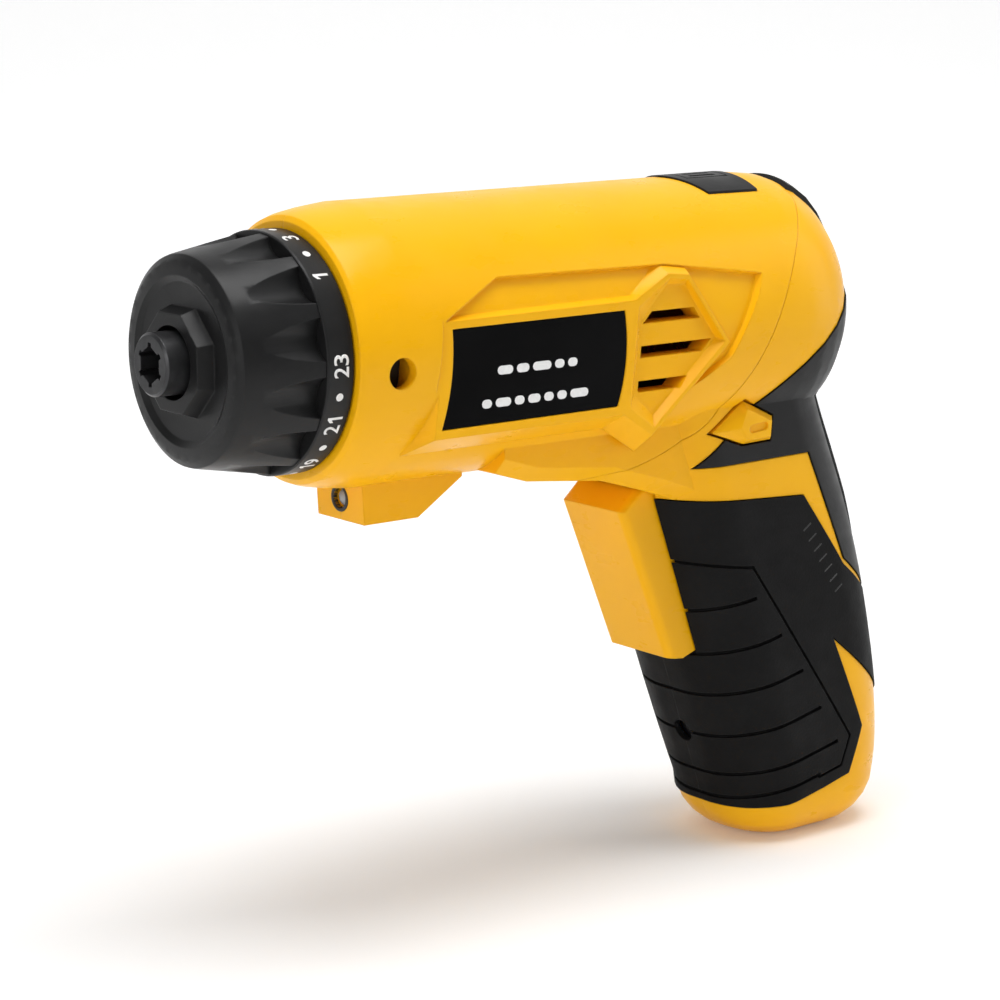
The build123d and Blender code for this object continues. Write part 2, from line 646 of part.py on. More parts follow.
def carrier_pins(x):
    pins = []
    for number in range(PLANETS):
        pin = Pos(0, 0, CENTRE_DISTANCE) * tube_x(x + 0.5, x - GEAR_W - 1.1, PIN_R)
        pins.append(Rot(360 * number / PLANETS, 0, 0) * pin)
    return pins


# ---- gears ----
def involute(angle):
    return math.tan(angle) - angle


def tooth_half_angle(teeth, radius, share):
    """Half of a tooth's angle at a radius, from an involute flank."""
    pitch_r = MODULE * teeth / 2
    base_r = pitch_r * math.cos(math.radians(PRESSURE))
    at = math.acos(min(1.0, base_r / max(radius, base_r)))
    middle = math.pi * share / teeth
    return middle + involute(math.radians(PRESSURE)) - involute(at)


def gear_outline(teeth, add, ded, share, turn):
    """A closed tooth outline; the first tooth points up when turn is 0."""
    pitch_r = MODULE * teeth / 2
    radii = [pitch_r - ded * MODULE, pitch_r, pitch_r + add * MODULE]
    points = []
    for tooth in range(teeth):
        middle = 2 * math.pi * tooth / teeth + math.radians(turn)
        rising = [(r, middle - tooth_half_angle(teeth, r, share)) for r in radii]
        falling = [(r, middle + tooth_half_angle(teeth, r, share)) for r in reversed(radii)]
        points += [(r * math.sin(a), r * math.cos(a)) for r, a in rising + falling]
    return make_face(Polyline(*points, close=True))


def gear_along(x, width, outline_face):
    start = Plane(origin=(x - width, 0, 0), x_dir=(0, 1, 0), z_dir=(1, 0, 0))
    return extrude(start * outline_face, amount=width)


def spur(teeth, x, width, turn):
    return gear_along(x, width, gear_outline(teeth, TOOTH_ADD, TOOTH_DED, 0.5 - BACKLASH, turn))


def save_gears():
    print("gears")
    sun_turn = 180 / SUN_TEETH
    for stage, x in (("output", PLANET_OUT_X), ("input", PLANET_IN_X)):
        for number in range(PLANETS):
            place = Rot(360 * number / PLANETS, 0, 0) * Pos(0, 0, CENTRE_DISTANCE)
            gear = spur(PLANET_TEETH, x, GEAR_W, 0) - tube_x(x + 1, x - GEAR_W - 1, PIN_R + RUN)
            save(f"planet_{stage}_{number + 1}", place * gear)
    teeth = gear_outline(RING_TEETH, TOOTH_DED, TOOTH_ADD, 0.5 + BACKLASH, 0)
    for name, x0, x1 in (("output", RING_OUT_X, RING_IN_X), ("input", RING_IN_X, MOTOR_PLATE_X)):
        rim = tube_x(x0, x1, RING_GEAR_R)
        save(f"ring_gear_{name}", rim - gear_along(x0 + 1, x0 - x1 + 2, teeth))
    sun = spur(SUN_TEETH, PLANET_OUT_X + 0.2, PLANET_OUT_X + 0.2 - CARRIER_IN_X, sun_turn)
    plate = tube_x(CARRIER_IN_X, CARRIER_IN_X - CARRIER_T, CARRIER_R)
    save("input_carrier", plate + sun + carrier_pins(CARRIER_IN_X - CARRIER_T))
    pinion_x = CARRIER_IN_X - CARRIER_T - AIR
    pinion = spur(SUN_TEETH, pinion_x, GEAR_W + 1.2, sun_turn)
    save("motor_pinion", pinion - tube_x(pinion_x + 1, pinion_x - 20, MOTOR_SHAFT_R))


def save_gearbox():
    print("gearbox")
    shell = tube_x(GEARBOX_X, MOTOR_PLATE_X, GEARBOX_R, RING_GEAR_R)
    front = tube_x(GEARBOX_X, RING_OUT_X, GEARBOX_R, SHAFT_R + 0.6)
    nose = tube_x(-SLEEVE_LEN - 0.5, GEARBOX_X, NOSE_TUBE_R, BUSH_R)
    nose_back = tube_x(-SLEEVE_LEN - 0.5 - BUSH_LEN, GEARBOX_X, NOSE_TUBE_R, SHAFT_R + 0.6)
    holes = []
    for number in range(BALLS):
        hole = Pos(0, 0, BALL_RING_R) * tube_x(GEARBOX_X + 1, RING_OUT_X - 1, BALL_R + RUN)
        holes.append(Rot(360 * number / BALLS + 30, 0, 0) * hole)
    save("gearbox_housing", shell + front + nose + nose_back - holes)
    plate = tube_x(MOTOR_PLATE_X, MOTOR_X, GEARBOX_R, MOTOR_BOSS_R)
    screws = []
    cuts = []
    for side in (-1, 1):
        lie = Pos(0, 8.0 * side, 0)
        cuts.append(lie * tube_x(MOTOR_X - 5, MOTOR_PLATE_X + 1, 1.25))
        cuts.append(lie * tube_x(MOTOR_PLATE_X - 1.3, MOTOR_PLATE_X + 1, 2.4))
        head = tube_x(MOTOR_PLATE_X - 1.3, MOTOR_PLATE_X - 0.1, 2.3) - \
            box(MOTOR_PLATE_X - 0.7, MOTOR_PLATE_X, -3, 3, -0.35, 0.35)
        screws.append(lie * (head + tube_x(MOTOR_PLATE_X - 1.3, MOTOR_X - 2.5, 1.25)))
    save("motor_plate", plate - cuts)
    save("motor_screws", group(screws))


def save_motor():
    print("motor")
    wall = 1.0
    bore = MOTOR_SHAFT_R + RUN
    can = tube_x(MOTOR_X, MOTOR_BACK_X, MOTOR_R, MOTOR_R - wall)
    front = tube_x(MOTOR_X, MOTOR_X - wall, MOTOR_R, bore)
    boss = tube_x(MOTOR_X + 1.8, MOTOR_X - wall, MOTOR_BOSS_R, bore)
    holes = [Pos(0, 8.0 * side, 0) * tube_x(MOTOR_X + 1, MOTOR_X - 3, 1.25) for side in (-1, 1)]
    flats = [box(MOTOR_X - 8, MOTOR_X - 30, -3, 3, s * (MOTOR_R - 0.3), s * (MOTOR_R + 1))
             for s in (-1, 1)]
    save("motor_can", can + front + boss - holes - flats)
    magnets = tube_x(MOTOR_X - 5, MOTOR_X - 30, MOTOR_R - wall, 10.7)
    gaps = box(MOTOR_X, MOTOR_X - 40, -3.2, 3.2, -15, 15)
    save("motor_magnets", magnets - gaps)
    cap = tube_x(MOTOR_BACK_X + 2.4, MOTOR_BACK_X, MOTOR_R - wall, bore)
    knob = tube_x(MOTOR_BACK_X, MOTOR_BACK_X - 2.5, 4.0, bore)
    slots = [box(MOTOR_BACK_X + 3, MOTOR_BACK_X - 1, 8 * s - 0.4, 8 * s + 0.4, -1.6, 1.6)
             for s in (-1, 1)]
    save("motor_end_cap", cap + knob - slots)
    tabs = [box(MOTOR_BACK_X + 2.4, MOTOR_BACK_X - 5.5, 8 * s - 0.4, 8 * s + 0.4, -1.6, 1.6)
            for s in (-1, 1)]
    save("motor_terminals", group(tabs))
    pinion_x = CARRIER_IN_X - CARRIER_T - AIR
    shaft = tube_x(pinion_x, MOTOR_BACK_X - 2.2, MOTOR_SHAFT_R)
    stack = tube_x(MOTOR_X - 7, MOTOR_X - 28, 10.1)
    slots = [Rot(72 * n, 0, 0) * box(MOTOR_X - 6, MOTOR_X - 29, -0.9, 0.9, 4.6, 12)
             for n in range(5)]
    commutator = tube_x(MOTOR_X - 28, MOTOR_X - 33.5, 3.5)
    save("rotor", shaft + (stack - slots) + commutator)


# ---- trigger and switches ----
def save_trigger():
    print("trigger")
    block = both_sides(TRIGGER, TRIGGER_HALF_W)
    front = [e for e in block.edges() if abs(abs(e.position_at(0.5).Y) - TRIGGER_HALF_W) < 0.01
             and e.position_at(0.5).X > -122.5 and e.position_at(0.5).Z > -73.1]
    block = fillet(front, 1.8)
    hollow = TRIGGER_PLANE * Pos(0, 0, 12.0) * Box(2 * (TRIGGER_HALF_W - TRIGGER_WALL), 34, 36.4)
    save("trigger", block - hollow)
    seat = -6.2
    plunger = TRIGGER_PLANE * Pos(0, 0, (seat + 5.5) / 2) * Cylinder(PLUNGER_R, 5.5 - seat)
    save("switch_plunger", plunger)
    front_z = 4.5
    body = TRIGGER_PLANE * Pos(0, 0, front_z + 5) * Box(14, 18, 10)
    well = TRIGGER_PLANE * Pos(0, 0, front_z + 3.2) * Cylinder(PLUNGER_R + AIR, 6.6)
    save("switch_body", body - well)
    place = TRIGGER_PLANE * Pos(0, 0, seat + 0.5)
    save("trigger_spring", place * coil(4.4, 1.0, front_z - seat - 1.0, 5))


def selector_end():
    """The faceted thumb piece on the left side."""
    top = [(-129.2, -22.8), (-130.8, -18.8), (-137.9, -22.0), (-137.6, -25.2), (-131.0, -25.4)]
    base_y = 20.0
    outer_y = base_y + SELECTOR_OUT
    stub = side_prism(SELECTOR, 13.8, base_y)
    crest = loft([side_face(SELECTOR, base_y), side_face(top, outer_y)], ruled=True)
    lie = Plane(origin=(-134.2, outer_y, -23.0), x_dir=(-0.98, 0, 0.1), z_dir=(0, -1, 0))
    mark = extrude(lie * SlotOverall(5.2, 1.7), amount=0.5)
    return stub + crest - mark


def save_selector():
    print("selector")
    bar = box(SELECTOR_X - 4.5, SELECTOR_X + 4.5, -14.2, 14.2, SELECTOR_Z - 2.6, SELECTOR_Z + 2.6)
    end = selector_end()
    save("direction_selector", bar + end + mirrored(end))
    block = box(SELECTOR_X - 8, SELECTOR_X + 8, -8, 8, SELECTOR_Z - 7, SELECTOR_Z + 7)
    slot = box(SELECTOR_X - 4.5 - AIR, SELECTOR_X + 4.5 + AIR, -9, 9,
               SELECTOR_Z - 2.6 - AIR, SELECTOR_Z + 2.6 + AIR)
    save("reversing_switch", block - slot)


# ---- power and light ----
def save_electrics():
    print("electrics")
    angle = math.radians(HANDLE_TILT)
    top_x, top_z = CELL_TOP
    down = Plane(origin=(top_x, 0, top_z), x_dir=(0, 1, 0),
                 z_dir=(-math.sin(angle), 0, -math.cos(angle)))
    cell = Pos(0, 0, CELL_LEN / 2) * Cylinder(CELL_R, CELL_LEN)
    save("battery_cell", down * fillet(cell.edges(), 0.8))
    ends = [Pos(0, 0, -0.3) * Cylinder(6, 0.6), Pos(0, 0, CELL_LEN + 0.3) * Cylinder(6, 0.6)]
    save("battery_contacts", group([down * end for end in ends]))
    jack = Pos(0, 0, 7.0) * (Cylinder(JACK_BARREL_R, 9.2) - Pos(0, 0, -1.5) * Cylinder(JACK_R, 9.2))
    save("charge_jack", JACK_PLANE * jack)
    pin = Pos(0, 0, 6.5) * Cylinder(0.8, 7.0)
    liner = Pos(0, 0, 6.0) * (Cylinder(JACK_R, 5.0) - Cylinder(JACK_R - 0.3, 6))
    save("charge_pin", group([JACK_PLANE * pin, JACK_PLANE * liner]))
    lamp = tube_x(-44.6, -50, LED_R) + Pos(-44.6, 0, 0) * Sphere(LED_R)
    save("work_light_led", Pos(0, 0, -30) * lamp)
    board = box(-147, -123, -14, 14, 14, 15.6)
    tact = box(BUTTON_X - 3, BUTTON_X + 3, -3, 3, 15.6, 18)
    chip = box(-128, -124.5, -8, -2, 15.6, 17)
    save("control_board", board + tact + chip)


def save_screws():
    screws = []
    for x, z in BOSSES:
        lie = Pos(x, 0, z) * Rot(90, 0, 0)
        head = Cylinder(SCREW_HEAD_R, 1.6) - Pos(0, 0, 0.5) * Box(4, 0.7, 1.2) - \
            Pos(0, 0, 0.5) * Box(0.7, 4, 1.2)
        shank = Pos(0, 0, -SCREW_LEN / 2 - 0.8) * Cylinder(SCREW_R, SCREW_LEN)
        screws.append(lie * Pos(0, 0, SCREW_HEAD_Y + 0.8) * (head + shank))
    save("case_screws", group(screws))


def wire(points, radius):
    """A lead along straight runs joined by arcs."""
    bends = []
    for before, at, after in zip(points, points[1:], points[2:]):
        first = Vector(*at) - Vector(*before)
        second = Vector(*after) - Vector(*at)
        turn = math.radians(first.get_angle(second))
        bends.append(0.45 * min(first.length, second.length) / math.tan(turn / 2))
    path = FilletPolyline(*points, radius=bends)
    section = Plane(origin=path @ 0, z_dir=path % 0) * Circle(radius)
    return sweep(section, path=path)


def save_leads():
    print("leads")
    start = MOTOR_BACK_X - 5.5
    top = SELECTOR_Z + 7
    low = SELECTOR_Z - 7
    motor = []
    cell = []
    for side in (-1, 1):
        motor.append(wire([(start, 8 * side, 0), (start - 11, 7.5 * side, 0),
                           (SELECTOR_X + 4, 5.5 * side, top + 8),
                           (SELECTOR_X + 2, 5 * side, top + 3), (SELECTOR_X + 2, 5 * side, top)], 0.7))
        cell.append(wire([(SELECTOR_X - 3, 3.5 * side, low), (SELECTOR_X - 3, 3.5 * side, low - 2.5),
                          (SELECTOR_X - 7.5, 3.2 * side, low - 6.5),
                          (CELL_TOP[0] + 1.6, 2.8 * side, CELL_TOP[1] + 2.6),
                          (CELL_TOP[0] + 0.3, 2.5 * side, CELL_TOP[1] + 0.8)], 0.6))
    save("motor_leads", group(motor))
    save("battery_leads", group(cell))


save_casing()
save_panels()
save_crown()
save_collar()
save_clutch()
save_spindle()
save_gears()
save_gearbox()
save_motor()
save_trigger()
save_selector()
save_electrics()
save_screws()
save_leads()
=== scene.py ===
# %% [markdown]
# # A pistol-grip cordless screwdriver
# The moulded shells, the gearbox, the motor and every control arrive as exact
# solids from the CAD. Blender never moves them. What it adds is what a moulding
# shop and a printer would add: the grain of each plastic, softly rounded edges,
# the printed dial and label, and the light that lets us see them.

# %% load the solids
import json
import math
import random

import bmesh
import bpy
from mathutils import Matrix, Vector
from mathutils.bvhtree import BVHTree


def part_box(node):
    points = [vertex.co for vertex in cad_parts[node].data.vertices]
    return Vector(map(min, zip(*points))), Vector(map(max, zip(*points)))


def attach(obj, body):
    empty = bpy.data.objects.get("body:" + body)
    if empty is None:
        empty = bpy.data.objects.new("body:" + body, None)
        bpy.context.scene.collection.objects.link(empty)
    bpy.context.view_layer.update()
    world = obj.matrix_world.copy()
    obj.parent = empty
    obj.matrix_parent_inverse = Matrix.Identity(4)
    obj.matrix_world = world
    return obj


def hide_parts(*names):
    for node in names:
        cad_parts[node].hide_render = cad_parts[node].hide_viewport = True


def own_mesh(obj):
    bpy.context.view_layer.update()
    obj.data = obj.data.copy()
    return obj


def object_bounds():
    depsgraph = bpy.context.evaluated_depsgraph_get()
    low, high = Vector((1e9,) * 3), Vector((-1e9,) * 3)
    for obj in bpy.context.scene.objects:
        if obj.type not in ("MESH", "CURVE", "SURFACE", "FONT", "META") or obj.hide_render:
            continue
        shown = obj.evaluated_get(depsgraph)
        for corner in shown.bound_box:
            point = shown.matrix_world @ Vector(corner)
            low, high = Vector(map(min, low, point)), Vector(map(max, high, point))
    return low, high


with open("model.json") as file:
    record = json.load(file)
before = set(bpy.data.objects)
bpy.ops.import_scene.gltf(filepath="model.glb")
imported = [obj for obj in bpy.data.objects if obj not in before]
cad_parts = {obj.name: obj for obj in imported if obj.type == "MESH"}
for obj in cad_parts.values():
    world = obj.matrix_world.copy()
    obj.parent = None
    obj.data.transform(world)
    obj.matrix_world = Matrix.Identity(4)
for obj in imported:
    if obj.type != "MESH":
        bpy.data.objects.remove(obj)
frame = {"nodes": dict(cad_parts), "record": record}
cad_low, cad_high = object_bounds()
nodes = frame["nodes"]
MM = 0.001
print("solids:", len(nodes), "size in mm:", [round(v / MM, 1) for v in cad_high - cad_low])

# %% [markdown]
# ## Smooth where the mould is smooth, sharp where it is sharp
# A solid comes in as triangles, with its faces apart. Joined by a Weld modifier,
# then split again only where the surface really turns a corner, the barrel shades
# as one curve while the trigger keeps its facets. Only the stored normals are dropped
# and the faces told to shade smooth. Not one corner of the solid is moved.

# %% shading of the solids
CORNER = math.radians(28)
JOIN_GAP = 0.002 * MM
LARGE_FACES_LEAD = 80      # how far large faces decide a shared normal, 50 is not at all


def shade_as_moulded(piece):
    mesh = piece.data
    if "custom_normal" in mesh.attributes:
        mesh.attributes.remove(mesh.attributes["custom_normal"])
    mesh.shade_smooth()
    weld = piece.modifiers.new("join", "WELD")
    weld.merge_threshold = JOIN_GAP
    split = piece.modifiers.new("corners", "EDGE_SPLIT")
    split.split_angle = CORNER
    even = piece.modifiers.new("even", "WEIGHTED_NORMAL")
    even.weight = LARGE_FACES_LEAD


for piece in nodes.values():
    shade_as_moulded(piece)
print("shaded", len(nodes), "solids with a corner angle of", round(math.degrees(CORNER)), "degrees")

# %% [markdown]
# ## Small words for building finishes
# Every finish below is made of the same few things: a noise for unevenness, a
# stretched noise for brushing and scratches, a rounded edge, and a bump. They are
# read from the object's own coordinates, so a grain stays put as a part moves.

# %% an empty finish and its noises
def blank_finish(name):
    material = bpy.data.materials.new(name)
    material.use_nodes = True
    tree = material.node_tree
    tree.nodes.clear()
    out = tree.nodes.new("ShaderNodeOutputMaterial")
    shader = tree.nodes.new("ShaderNodeBsdfPrincipled")
    tree.links.new(shader.outputs["BSDF"], out.inputs["Surface"])
    return material, tree, shader


def unevenness(tree, size, detail, stretch=(1, 1, 1)):
    """Noise whose blotches are about size metres across."""
    place = tree.nodes.new("ShaderNodeTexCoord")
    mapping = tree.nodes.new("ShaderNodeMapping")
    mapping.inputs["Scale"].default_value = stretch
    noise = tree.nodes.new("ShaderNodeTexNoise")
    noise.inputs["Scale"].default_value = 1 / size
    noise.inputs["Detail"].default_value = detail
    tree.links.new(place.outputs["Object"], mapping.inputs["Vector"])
    tree.links.new(mapping.outputs["Vector"], noise.inputs["Vector"])
    return noise.outputs["Fac"]


def pebbles(tree, size):
    """Small rounded cells, as on a grained or pebbled mould."""
    place = tree.nodes.new("ShaderNodeTexCoord")
    cells = tree.nodes.new("ShaderNodeTexVoronoi")
    cells.inputs["Scale"].default_value = 1 / size
    tree.links.new(place.outputs["Object"], cells.inputs["Vector"])
    return cells.outputs["Distance"]


print("noises: unevenness and pebbles")

# %% mixing values and tones
def between(tree, value, low, high, start=0.3, end=0.7):
    """The value's middle range spread from low to high."""
    spread = tree.nodes.new("ShaderNodeMapRange")
    spread.inputs["From Min"].default_value = start
    spread.inputs["From Max"].default_value = end
    spread.inputs["To Min"].default_value = low
    spread.inputs["To Max"].default_value = high
    tree.links.new(value, spread.inputs["Value"])
    return spread.outputs["Result"]


def two_tones(tree, share, first, second):
    """From the first tone to the second. A tone is a colour or another node's output."""
    mix = tree.nodes.new("ShaderNodeMix")
    mix.data_type = "RGBA"
    for socket, tone in ((mix.inputs[6], first), (mix.inputs[7], second)):
        if isinstance(tone, bpy.types.NodeSocket):
            tree.links.new(tone, socket)
        else:
            socket.default_value = (*tone, 1)
    tree.links.new(share, mix.inputs[0])
    return mix.outputs[2]


def times(tree, first, second):
    product = tree.nodes.new("ShaderNodeMath")
    product.operation = "MULTIPLY"
    tree.links.new(first, product.inputs[0])
    tree.links.new(second, product.inputs[1])
    return product.outputs[0]


print("mixers: between, two_tones and times")

# %% [markdown]
# An edge straight from the CAD is perfectly sharp, and nothing moulded is. A bevel could
# be cut into the mesh, but the solids stay as they are, so the Bevel node bends the
# light at each edge instead. Where its normal leaves the true one there is an edge, and
# that difference also says where hands would rub.

# %% edges and relief
EDGE_STARTS = 0.94      # the two normals' dot product where an edge begins to show
EDGE_FULL = 0.72
BEVEL_SAMPLES = 4


def rounded_edge(tree, radius):
    """The normal of an edge that has been broken to this radius, and where that edge is."""
    bevel = tree.nodes.new("ShaderNodeBevel")
    bevel.samples = BEVEL_SAMPLES
    bevel.inputs["Radius"].default_value = radius
    true_normal = tree.nodes.new("ShaderNodeNewGeometry")
    dot = tree.nodes.new("ShaderNodeVectorMath")
    dot.operation = "DOT_PRODUCT"
    tree.links.new(bevel.outputs["Normal"], dot.inputs[0])
    tree.links.new(true_normal.outputs["Normal"], dot.inputs[1])
    edge = between(tree, dot.outputs["Value"], 1.0, 0.0, EDGE_FULL, EDGE_STARTS)
    return bevel.outputs["Normal"], edge


def raised(tree, height, depth, normal, strength):
    """A relief of this depth laid over a normal."""
    bump = tree.nodes.new("ShaderNodeBump")
    bump.inputs["Strength"].default_value = strength
    bump.inputs["Distance"].default_value = depth
    tree.links.new(height, bump.inputs["Height"])
    tree.links.new(normal, bump.inputs["Normal"])
    return bump.outputs["Normal"]


print("an edge starts at", EDGE_STARTS, "and is full at", EDGE_FULL)

# %% [markdown]
# ## Moulded plastics
# The yellow is a glossy ABS: the pigment is very slightly cloudy, the surface has
# the faint ripple of a polished mould, and handled edges go a little paler. The
# black parts are the same recipe with a spark-eroded grain instead of a polish.

# %% plastics
CLOUD = 26 * MM           # blotches in the pigment
RUBBED = 3 * MM           # patches where an edge has been handled
SMEAR = 9 * MM            # patches of more and less gloss
RIPPLE = 7 * MM           # waves left by polishing the mould
RIPPLE_DEPTH = 0.03 * MM


def moulded_plastic(name, tone, deep_tone, edge_tone, gloss, grain, grain_depth, edge, coat,
                    shine=0.5):
    material, tree, shader = blank_finish(name)
    cloud = between(tree, unevenness(tree, CLOUD, 2.0), 0.0, 1.0)
    colour = two_tones(tree, cloud, tone, deep_tone)
    normal, rim = rounded_edge(tree, edge)
    handled = times(tree, rim, between(tree, unevenness(tree, RUBBED, 5.0), 0.1, 0.5))
    tree.links.new(two_tones(tree, handled, colour, edge_tone), shader.inputs["Base Color"])
    smear = between(tree, unevenness(tree, SMEAR, 6.0, (1, 1, 2.5)), gloss - 0.05, gloss + 0.07)
    tree.links.new(smear, shader.inputs["Roughness"])
    normal = raised(tree, pebbles(tree, grain), grain_depth, normal, 0.5)
    ripple = unevenness(tree, RIPPLE, 2.0)
    tree.links.new(raised(tree, ripple, RIPPLE_DEPTH, normal, 0.35), shader.inputs["Normal"])
    shader.inputs["Coat Weight"].default_value = coat
    shader.inputs["Coat Roughness"].default_value = 0.16
    shader.inputs["Specular IOR Level"].default_value = shine
    shader.inputs["IOR"].default_value = 1.5
    return material


RUBBER = (0.006, 0.006, 0.0062)
RUBBER_DUSTY = (0.01, 0.01, 0.0102)
RUBBER_WORN = (0.045, 0.045, 0.046)
PEBBLE = 0.55 * MM
PEBBLE_DEPTH = 0.05 * MM


def soft_grip(name):
    """Overmoulded soft rubber: pebbled, dull, dustier on what stands proud."""
    material, tree, shader = blank_finish(name)
    dust = between(tree, unevenness(tree, 12 * MM, 5.0), 0.0, 0.6)
    colour = two_tones(tree, dust, RUBBER, RUBBER_DUSTY)
    normal, rim = rounded_edge(tree, 0.35 * MM)
    worn = times(tree, rim, between(tree, unevenness(tree, 2 * MM, 4.0), 0.1, 0.8))
    tree.links.new(two_tones(tree, worn, colour, RUBBER_WORN), shader.inputs["Base Color"])
    tree.links.new(between(tree, unevenness(tree, 5 * MM, 4.0), 0.5, 0.64), shader.inputs["Roughness"])
    tree.links.new(raised(tree, pebbles(tree, PEBBLE), PEBBLE_DEPTH, normal, 0.6), shader.inputs["Normal"])
    shader.inputs["Specular IOR Level"].default_value = 0.08
    return material


print("plastic: ripple", RIPPLE / MM, "mm across, rubber pebbles", round(PEBBLE / MM, 2), "mm")

# %% [markdown]
# ## Metals and the small stuff inside
# Turned steel shows rings round the spindle, drawn wire shows lines along itself,
# and a plated can is faintly mottled. Most of this is hidden behind the shells,
# yet a part that is taken out should look right on the bench.

# %% metals and the rest
TOOL_MARK = 1.5 * MM
MARK_DEPTH = 0.01 * MM


def worked_metal(name, tone, deep_tone, gloss, metal, stretch):
    """A metal with tool marks: stretch above 1 packs the marks along that axis."""
    material, tree, shader = blank_finish(name)
    marks = unevenness(tree, TOOL_MARK, 4.0, stretch)
    mottle = between(tree, unevenness(tree, 4 * MM, 4.0), 0.0, 1.0)
    tree.links.new(two_tones(tree, mottle, tone, deep_tone), shader.inputs["Base Color"])
    tree.links.new(between(tree, marks, gloss - 0.06, gloss + 0.1), shader.inputs["Roughness"])
    normal, _ = rounded_edge(tree, 0.2 * MM)
    tree.links.new(raised(tree, marks, MARK_DEPTH, normal, 0.4), shader.inputs["Normal"])
    shader.inputs["Metallic"].default_value = metal
    return material


def clear_lamp(name):
    material, tree, shader = blank_finish(name)
    haze = between(tree, unevenness(tree, 1.5 * MM, 3.0), 0.03, 0.1)
    tone = two_tones(tree, haze, (0.9, 0.95, 1.0), (0.75, 0.82, 0.9))      # a cool clear lens
    tree.links.new(tone, shader.inputs["Base Color"])
    tree.links.new(haze, shader.inputs["Roughness"])
    shader.inputs["Transmission Weight"].default_value = 0.6
    shader.inputs["IOR"].default_value = 1.49
    return material


PLAIN_GRAIN = 0.5 * MM
PLAIN_GRAIN_DEPTH = 0.02 * MM
PLAIN_EDGE = 0.25 * MM


def plain(name, tone, deep_tone, gloss):
    """An ordinary moulding, sleeve or board of one colour, with its own fine grain."""
    return moulded_plastic(name, tone, deep_tone, tone, gloss, PLAIN_GRAIN, PLAIN_GRAIN_DEPTH,
                           PLAIN_EDGE, 0.0)


print("metal: tool marks", TOOL_MARK / MM, "mm, plain mouldings: grain", PLAIN_GRAIN / MM, "mm")

# %% [markdown]
# ## One finish for each of the tool's materials
# A plastic is given as its tone, its deeper tone and its rubbed tone, then its gloss, the
# grain's size and depth, the roundness of its edges, its clear coat and its shine. The
# record says which solid has which material, so no solid is named here.

# %% the tool's finishes
YELLOW = (0.92, 0.465, 0.004)
YELLOW_DEEP = (0.90, 0.44, 0.003)
YELLOW_EDGE = (0.94, 0.52, 0.02)
ROUND_X = (8, 1, 1)
ALONG_X = (1, 8, 8)
finishes = {
    "yellow_shell": moulded_plastic("yellow_shell", YELLOW, YELLOW_DEEP, YELLOW_EDGE,
                                    0.3, 0.8 * MM, 0.006 * MM, 0.45 * MM, 0.02, 0.16),
    "black_panel": moulded_plastic("black_panel", (0.009, 0.009, 0.0093), (0.013, 0.013, 0.0133),
                                   (0.05, 0.05, 0.052), 0.42, 0.35 * MM, 0.02 * MM, 0.35 * MM, 0.0, 0.18),
    "dial_black": moulded_plastic("dial_black", (0.008, 0.008, 0.0083), (0.012, 0.012, 0.0123),
                                  (0.06, 0.06, 0.062), 0.36, 0.3 * MM, 0.015 * MM, 0.4 * MM, 0.0, 0.24),
    "label_black": moulded_plastic("label_black", (0.003, 0.003, 0.0032), (0.005, 0.005, 0.0052),
                                   (0.02, 0.02, 0.02), 0.34, 0.4 * MM, 0.004 * MM, 0.2 * MM, 0.0, 0.03),
    "soft_grip": soft_grip("soft_grip"),
    "blackened_steel": worked_metal("blackened_steel", (0.035, 0.035, 0.037), (0.06, 0.06, 0.062),
                                    0.34, 0.7, ROUND_X),
    "bright_steel": worked_metal("bright_steel", (0.6, 0.6, 0.61), (0.5, 0.5, 0.52), 0.24, 1.0, ROUND_X),
    "spring_steel": worked_metal("spring_steel", (0.55, 0.55, 0.56), (0.42, 0.42, 0.44), 0.2, 1.0, ALONG_X),
    "bronze": worked_metal("bronze", (0.55, 0.33, 0.13), (0.42, 0.24, 0.09), 0.4, 1.0, ROUND_X),
    "can_steel": worked_metal("can_steel", (0.5, 0.51, 0.53), (0.38, 0.39, 0.41), 0.32, 0.9, ALONG_X),
    "magnet": worked_metal("magnet", (0.08, 0.08, 0.085), (0.12, 0.12, 0.125), 0.5, 0.6, (2, 2, 2)),
    "gear_nylon": plain("gear_nylon", (0.72, 0.69, 0.62), (0.66, 0.62, 0.53), 0.42),
    "black_moulding": plain("black_moulding", (0.02, 0.02, 0.021), (0.032, 0.032, 0.033), 0.5),
    "cell_wrap": plain("cell_wrap", (0.02, 0.13, 0.38), (0.015, 0.1, 0.3), 0.25),
    "board_green": plain("board_green", (0.012, 0.13, 0.045), (0.01, 0.09, 0.035), 0.35),
    "wire_red": plain("wire_red", (0.4, 0.02, 0.012), (0.3, 0.015, 0.01), 0.4),
    "lamp": clear_lamp("lamp"),
}
slot_of = {part["node"]: part["material_slot"] for part in frame["record"]["subparts"]}
for name, piece in nodes.items():
    piece.data.materials.clear()
    piece.data.materials.append(finishes[slot_of[name]])
print("finishes:", len(finishes), "on", len(slot_of), "solids")

# %% [markdown]
# ## White print
# Pad-printed ink is a thin, slightly chalky film. It is made as real flat pieces
# a few hundredths of a millimetre thick, so it catches light like ink does, and its
# edges stay crisp however close one looks.

# %% print finish and flat pieces
INK = 0.035 * MM
INK_WHITE = (0.86, 0.86, 0.85)
INK_THIN = (0.78, 0.78, 0.77)      # where the black shows through a little
white_ink, ink_tree, ink_shader = blank_finish("white_ink")
chalk = between(ink_tree, unevenness(ink_tree, 0.6 * MM, 4.0), 0.0, 1.0)
ink_tree.links.new(two_tones(ink_tree, chalk, INK_WHITE, INK_THIN), ink_shader.inputs["Base Color"])
ink_tree.links.new(between(ink_tree, chalk, 0.42, 0.56, 0, 1), ink_shader.inputs["Roughness"])


